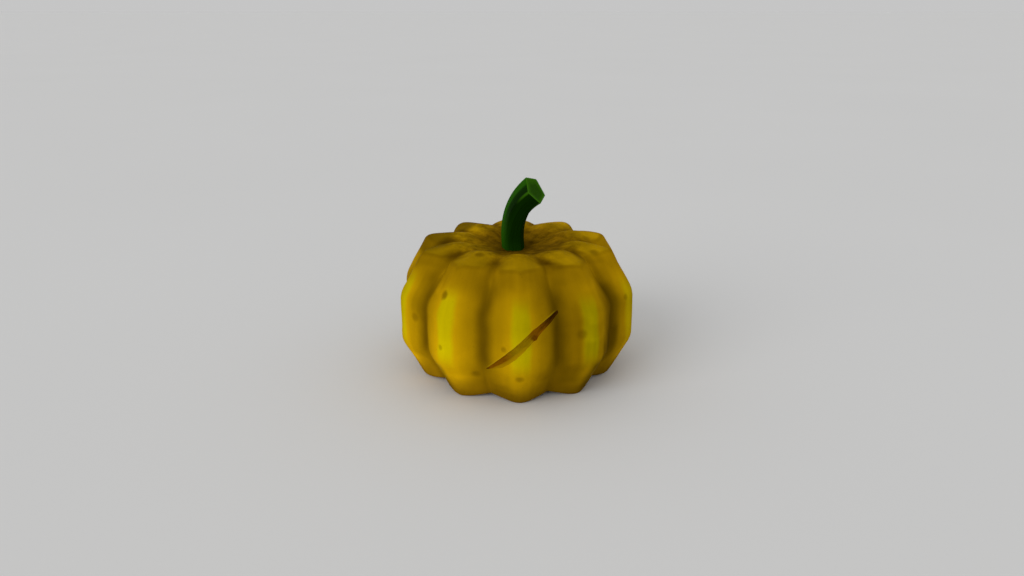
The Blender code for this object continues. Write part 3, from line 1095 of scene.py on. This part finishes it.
# Colours inside the gash, as linear light
FLESH_OLIVE = (0.380, 0.235, 0.0008)
FLESH_RUST = (0.290, 0.110, 0.0006)
FLESH_UMBER = (0.060, 0.020, 0.0006)
FLESH_EDGE = (0.480, 0.310, 0.0015)
FLESH_PALE_BAND = (0.440, 0.255, 0.0010)
FLESH_NICK = (0.150, 0.042, 0.0006)


def flesh_finish():
    """The flesh in the gash: olive yellow in the middle, rusty where it has dried, umber at the tips.

    side runs from -1 at the gash's lower edge to 1 at its upper one. The lower wall is darker but for a pale
    band along its edge, and rusty at the nick. The upper wall, which faces down, has painted light.
    """
    flesh = Finish("gash flesh", gloss=0.005, base=FLESH_RUST)
    u = flesh.attribute("gash_along")
    opening = flesh.math("SINE", u * math.pi) ** GASH_TAPER
    side = flesh.attribute("gash_across") / (opening * GASH_HALF_WIDTH + 0.0002)
    stretched = flesh.join(u * 9.0, side * 2.2, flesh.attribute("gash_out") * 260.0)
    fibres = flesh.noise(stretched, 2.0, detail=4.0)
    along = u + (fibres - 0.5) * 0.16
    flesh.lay(FLESH_OLIVE, along.rise(0.24, 0.40))
    flesh.lay(FLESH_RUST, along.rise(0.54, 0.66))
    flesh.lay(FLESH_UMBER, along.rise(0.68, 0.90))
    flesh.lay(FLESH_UMBER, along.rise(0.07, 0.0))
    edge = side.rise(-0.35, -0.95) * u.band(0.28, 0.42, 0.54, 0.66)
    flesh.lay(FLESH_EDGE, edge * 0.30)
    nick = u.near(NICK_AT, 0.045, 0.015) * side.rise(0.1, -0.6)
    flesh.lay(FLESH_NICK, nick * 0.8)
    # Darker towards the lower edge, and painted light on the upper wall, which faces down
    flesh.darken(side.rise(0.3, -0.5) * 0.22 - side.rise(0.0, 0.6) * 0.10)
    flesh.darken((fibres - 0.5) * 0.9)
    # A pale band along the lower edge
    pale_band = side.rise(-0.50, -0.95) * u.band(0.05, 0.14, 0.40, 0.56)
    flesh.lay(FLESH_PALE_BAND, pale_band * 0.75)
    return flesh.feed(0.58 + fibres * 0.1, fibres, bump=0.0010, strength=0.8)


# Colours of the stem, as linear light
STEM_GREEN = (0.0180, 0.0960, 0.0014)
STEM_DEEP = (0.0110, 0.0560, 0.0010)
STEM_EDGE = (0.0520, 0.1900, 0.0040)
STEM_CUT = (0.0330, 0.1250, 0.0012)
STEM_PITH = (0.0130, 0.0560, 0.0006)
STEM_SPECK = (0.0030, 0.0090, 0.0010)

# Places round the stem, in degrees from the arris that faces front left
STEM_LIT_SIDE = 75.0
STEM_SHADE_STRIPE = 17.0
STEM_DARKEST_PITH = -100.0


def stem_finish():
    """The stem: green with darker fibres, and with painted highlights along its arrises near the cut.

    It has painted shade away from its lit side, and in a stripe under its leaning end that sets in half-way
    up. The cut has a pale rim, and its dark pith reaches furthest to the lower right.
    """
    stem = Finish("pumpkin stem", gloss=0.01, base=STEM_GREEN)
    place = stem.place()
    cosine = stem.attribute("stem_cos")
    sine = stem.attribute("stem_sin")
    along = stem.attribute("stem_along")
    inside = stem.attribute("cut_inside")
    side = stem.math("ARCTAN2", sine, cosine) * (180 / math.pi)
    from_arris = stem.math("PINGPONG", side, 180 / STEM_SIDES) / (180 / STEM_SIDES)
    fibres = stem.noise(stem.join(cosine * 9.0, sine * 9.0, along * 2.0), 1.6, detail=5.0)
    stem.lay(STEM_DEEP, fibres.rise(0.35, 0.70) * 0.35)
    # Painted shade: darker away from the side that faces the key light, a little less near the foot
    shaded = stem.math("PINGPONG", side - STEM_LIT_SIDE, 180.0).rise(22.0, 108.0)
    stem.darken(shaded * (0.76 - along.rise(0.40, 0.10) * 0.16))
    # Painted shade in a stripe under the leaning end
    shade_stripe = side.near(STEM_SHADE_STRIPE, 34.0, 14.0) * along.rise(0.42, 0.78)
    stem.darken(shade_stripe * 0.70)
    # Painted highlights along the arrises near the cut
    arris = from_arris.rise(0.22, 0.02) * along.rise(0.83, 1.0)
    stem.lay(STEM_EDGE, arris * 0.6)
    speck = stem.cells(place, 110.0).rise(0.14, 0.05)
    scattered = stem.noise(place, 60.0).rise(0.50, 0.60)
    stem.lay(STEM_SPECK, speck * scattered * 0.7)
    lower_right = stem.math("COSINE", (side - STEM_DARKEST_PITH) * (math.pi / 180))
    pith = (inside + lower_right * 0.12).rise(0.15, 0.55)
    rays = stem.noise(stem.join(cosine * 5.0, sine * 5.0, inside * 2.0), 2.0, detail=3.0)
    cut = stem.mix(STEM_EDGE, STEM_CUT, inside.rise(0.03, 0.20))
    cut = stem.mix(cut, STEM_PITH, pith * (0.4 + 0.6 * rays))
    stem.lay(cut, inside.rise(0.001, 0.03))
    grain = stem.noise(place, 700.0)
    return stem.feed(0.50 + fibres * 0.12, fibres * 0.8 + grain * 0.2, bump=0.0007, strength=0.25)


def floor_finish():
    """A plain pale floor with hardly any pattern."""
    floor = Finish("pale floor", gloss=0.05, base=FLOOR_PALE)
    cloud = floor.noise(floor.place(), 1.5)
    floor.lay(FLOOR_PALER, cloud)
    return floor.feed(0.75 + cloud * 0.1, cloud, bump=0.0001, strength=0.1)


# Floor, light and camera


def make_floor():
    mesh = bpy.data.meshes.new("floor")
    corners = [(x * FLOOR_HALF, y * FLOOR_HALF, 0) for x, y in ((-1, -1), (1, -1), (1, 1), (-1, 1))]
    mesh.from_pydata(corners, [], [(0, 1, 2, 3)])
    mesh.materials.append(floor_finish())
    return add_piece("floor", mesh)


def direction_to(azimuth, elevation):
    """The vector from the object to something at an azimuth, in degrees from the front, and an elevation."""
    turn, rise = math.radians(azimuth), math.radians(elevation)
    return Vector((math.sin(turn) * math.cos(rise), -math.cos(turn) * math.cos(rise), math.sin(rise)))


def light_scene():
    """A pale sky all round, and one broad soft light from the left that falls evenly everywhere."""
    world = bpy.data.worlds.new("soft sky")
    world.use_nodes = True
    background = world.node_tree.nodes["Background"]
    background.inputs["Color"].default_value = (1.0, 1.0, 1.0, 1.0)
    background.inputs["Strength"].default_value = SKY_STRENGTH
    bpy.context.scene.world = world
    lamp = bpy.data.lights.new("key", "SUN")
    lamp.energy = KEY_STRENGTH
    lamp.angle = math.radians(KEY_SPREAD)
    key = bpy.data.objects.new("key", lamp)
    key.rotation_mode = "QUATERNION"
    key.rotation_quaternion = direction_to(KEY_AZIMUTH, KEY_ELEVATION).to_track_quat("Z", "Y")
    bpy.context.scene.collection.objects.link(key)
    bpy.context.scene.view_settings.view_transform = "Standard"


def add_camera():
    camera = bpy.data.objects.new("camera", bpy.data.cameras.new("camera"))
    camera.data.lens = LENS
    camera.data.sensor_width = SENSOR
    back = direction_to(VIEW_AZIMUTH, VIEW_ELEVATION)
    camera.location = VIEW_TARGET + back * VIEW_DISTANCE
    camera.rotation_mode = "QUATERNION"
    camera.rotation_quaternion = back.to_track_quat("Z", "Y")
    bpy.context.scene.collection.objects.link(camera)
    bpy.context.scene.camera = camera


add_camera()
light_scene()
make_floor()

fruit = make_fruit()
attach(fruit, "root")
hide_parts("fruit")

stem = make_stem()
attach(stem, "root")
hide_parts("stem")
